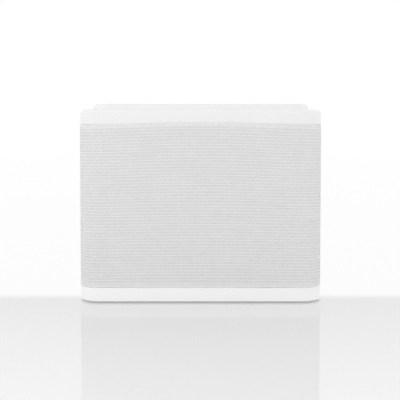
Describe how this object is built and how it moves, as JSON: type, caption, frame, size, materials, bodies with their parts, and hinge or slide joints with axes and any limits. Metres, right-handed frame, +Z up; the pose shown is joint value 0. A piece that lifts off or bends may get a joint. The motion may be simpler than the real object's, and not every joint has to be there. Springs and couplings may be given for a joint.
{
  "type": "portable wireless speaker",
  "caption": "Small rounded-box portable speaker with a woven fabric sleeve between a white cap and base, keys on top, sockets at the back and drivers inside.",
  "frame": {"origin": "middle of the footprint, on the surface that the feet stand on", "axes": "+X to the right seen from the front, +Y towards the back with the sockets, +Z up"},
  "size_m": [0.12, 0.058, 0.098],
  "materials": {
    "white_abs": "moulded, fine satin",
    "white_panel": "moulded, fine satin",
    "grey_fabric": "woven",
    "button_plastic": "moulded, satin",
    "grey_plastic": "moulded, satin",
    "clear_plastic": "polished",
    "foot_rubber": "moulded, matt",
    "dark_plastic": "moulded",
    "foam_rubber": "closed-cell foam",
    "cell_wrap": "shrunk sleeve",
    "circuit_board": "lacquered",
    "component_plastic": "moulded",
    "socket_steel": "pressed, plated",
    "screw_steel": "zinc plated",
    "plated_steel": "zinc plated",
    "painted_steel": "black powder coat",
    "ferrite": "sintered and ground",
    "spider_cloth": "resin-stiffened cotton",
    "roll_rubber": "moulded",
    "cone_paper": "pressed pulp, dyed",
    "coil_copper": "enamelled wire",
    "lead_insulation": "extruded insulation"
  },
  "bodies": {
    "root": {"audio_jack": "component_plastic", "base_cap": "white_abs", "base_screws": "screw_steel", "battery_cell": "cell_wrap", "battery_holder": "dark_plastic", "board_components": "component_plastic", "cabinet_gasket": "foam_rubber", "cabinet_screws": "screw_steel", "cap_screws": "screw_steel", "card_socket": "socket_steel", "charge_socket": "socket_steel", "control_board": "circuit_board", "control_panel": "white_panel", "driver_frame_left": "painted_steel", "driver_frame_right": "painted_steel", "fabric_sleeve": "grey_fabric", "foot_front_left": "foot_rubber", "foot_front_right": "foot_rubber", "foot_rear_left": "foot_rubber", "foot_rear_right": "foot_rubber", "front_baffle": "dark_plastic", "front_plate_left": "plated_steel", "front_plate_right": "plated_steel", "grille_cage": "dark_plastic", "indicator_lens": "clear_plastic", "magnet_left": "ferrite", "magnet_right": "ferrite", "main_board": "circuit_board", "panel_screws": "screw_steel", "port_plate": "grey_plastic", "radiator_frame": "dark_plastic", "radiator_surround": "roll_rubber", "rear_cabinet": "dark_plastic", "spider_left": "spider_cloth", "spider_right": "spider_cloth", "surround_left": "roll_rubber", "surround_right": "roll_rubber", "tact_switches": "component_plastic", "top_cap": "white_abs", "wire_harness": "lead_insulation", "yoke_left": "plated_steel", "yoke_right": "plated_steel"},
    "power_key": {"power_button": "button_plastic", "power_plunger": "component_plastic"},
    "volume_down_key": {"volume_down_button": "button_plastic", "volume_down_plunger": "component_plastic"},
    "play_key": {"play_button": "button_plastic", "play_plunger": "component_plastic"},
    "volume_up_key": {"volume_up_button": "button_plastic", "volume_up_plunger": "component_plastic"},
    "pairing_key": {"pairing_button": "button_plastic", "pairing_plunger": "component_plastic"},
    "left_cone": {"cone_left": "cone_paper", "dust_cap_left": "cone_paper", "voice_coil_left": "coil_copper"},
    "right_cone": {"cone_right": "cone_paper", "dust_cap_right": "cone_paper", "voice_coil_right": "coil_copper"},
    "radiator": {"radiator_plate": "painted_steel"}
  },
  "joints": [
    {"name": "power_press", "type": "slide", "parent": "root", "child": "power_key", "axis": [0, 0, -1], "range_m": [0, 0.0004], "stiffness_N_per_m": 800, "springref_m": -0.0005},
    {"name": "volume_down_press", "type": "slide", "parent": "root", "child": "volume_down_key", "axis": [0, 0, -1], "range_m": [0, 0.0004], "stiffness_N_per_m": 800, "springref_m": -0.0005},
    {"name": "play_press", "type": "slide", "parent": "root", "child": "play_key", "axis": [0, 0, -1], "range_m": [0, 0.0004], "stiffness_N_per_m": 800, "springref_m": -0.0005},
    {"name": "volume_up_press", "type": "slide", "parent": "root", "child": "volume_up_key", "axis": [0, 0, -1], "range_m": [0, 0.0004], "stiffness_N_per_m": 800, "springref_m": -0.0005},
    {"name": "pairing_press", "type": "slide", "parent": "root", "child": "pairing_key", "axis": [0, 0, -1], "range_m": [0, 0.0004], "stiffness_N_per_m": 800, "springref_m": -0.0005},
    {"name": "left_cone_travel", "type": "slide", "parent": "root", "child": "left_cone", "axis": [0, -1, 0], "range_m": [-0.0015, 0.0015], "stiffness_N_per_m": 1000, "deforming": ["surround_left", "spider_left"]},
    {"name": "right_cone_travel", "type": "slide", "parent": "root", "child": "right_cone", "axis": [0, -1, 0], "range_m": [-0.0015, 0.0015], "stiffness_N_per_m": 1000, "deforming": ["surround_right", "spider_right"]},
    {"name": "radiator_travel", "type": "slide", "parent": "root", "child": "radiator", "axis": [0, 1, 0], "range_m": [-0.0015, 0.0015], "stiffness_N_per_m": 800, "deforming": ["radiator_surround"]}
  ]
}
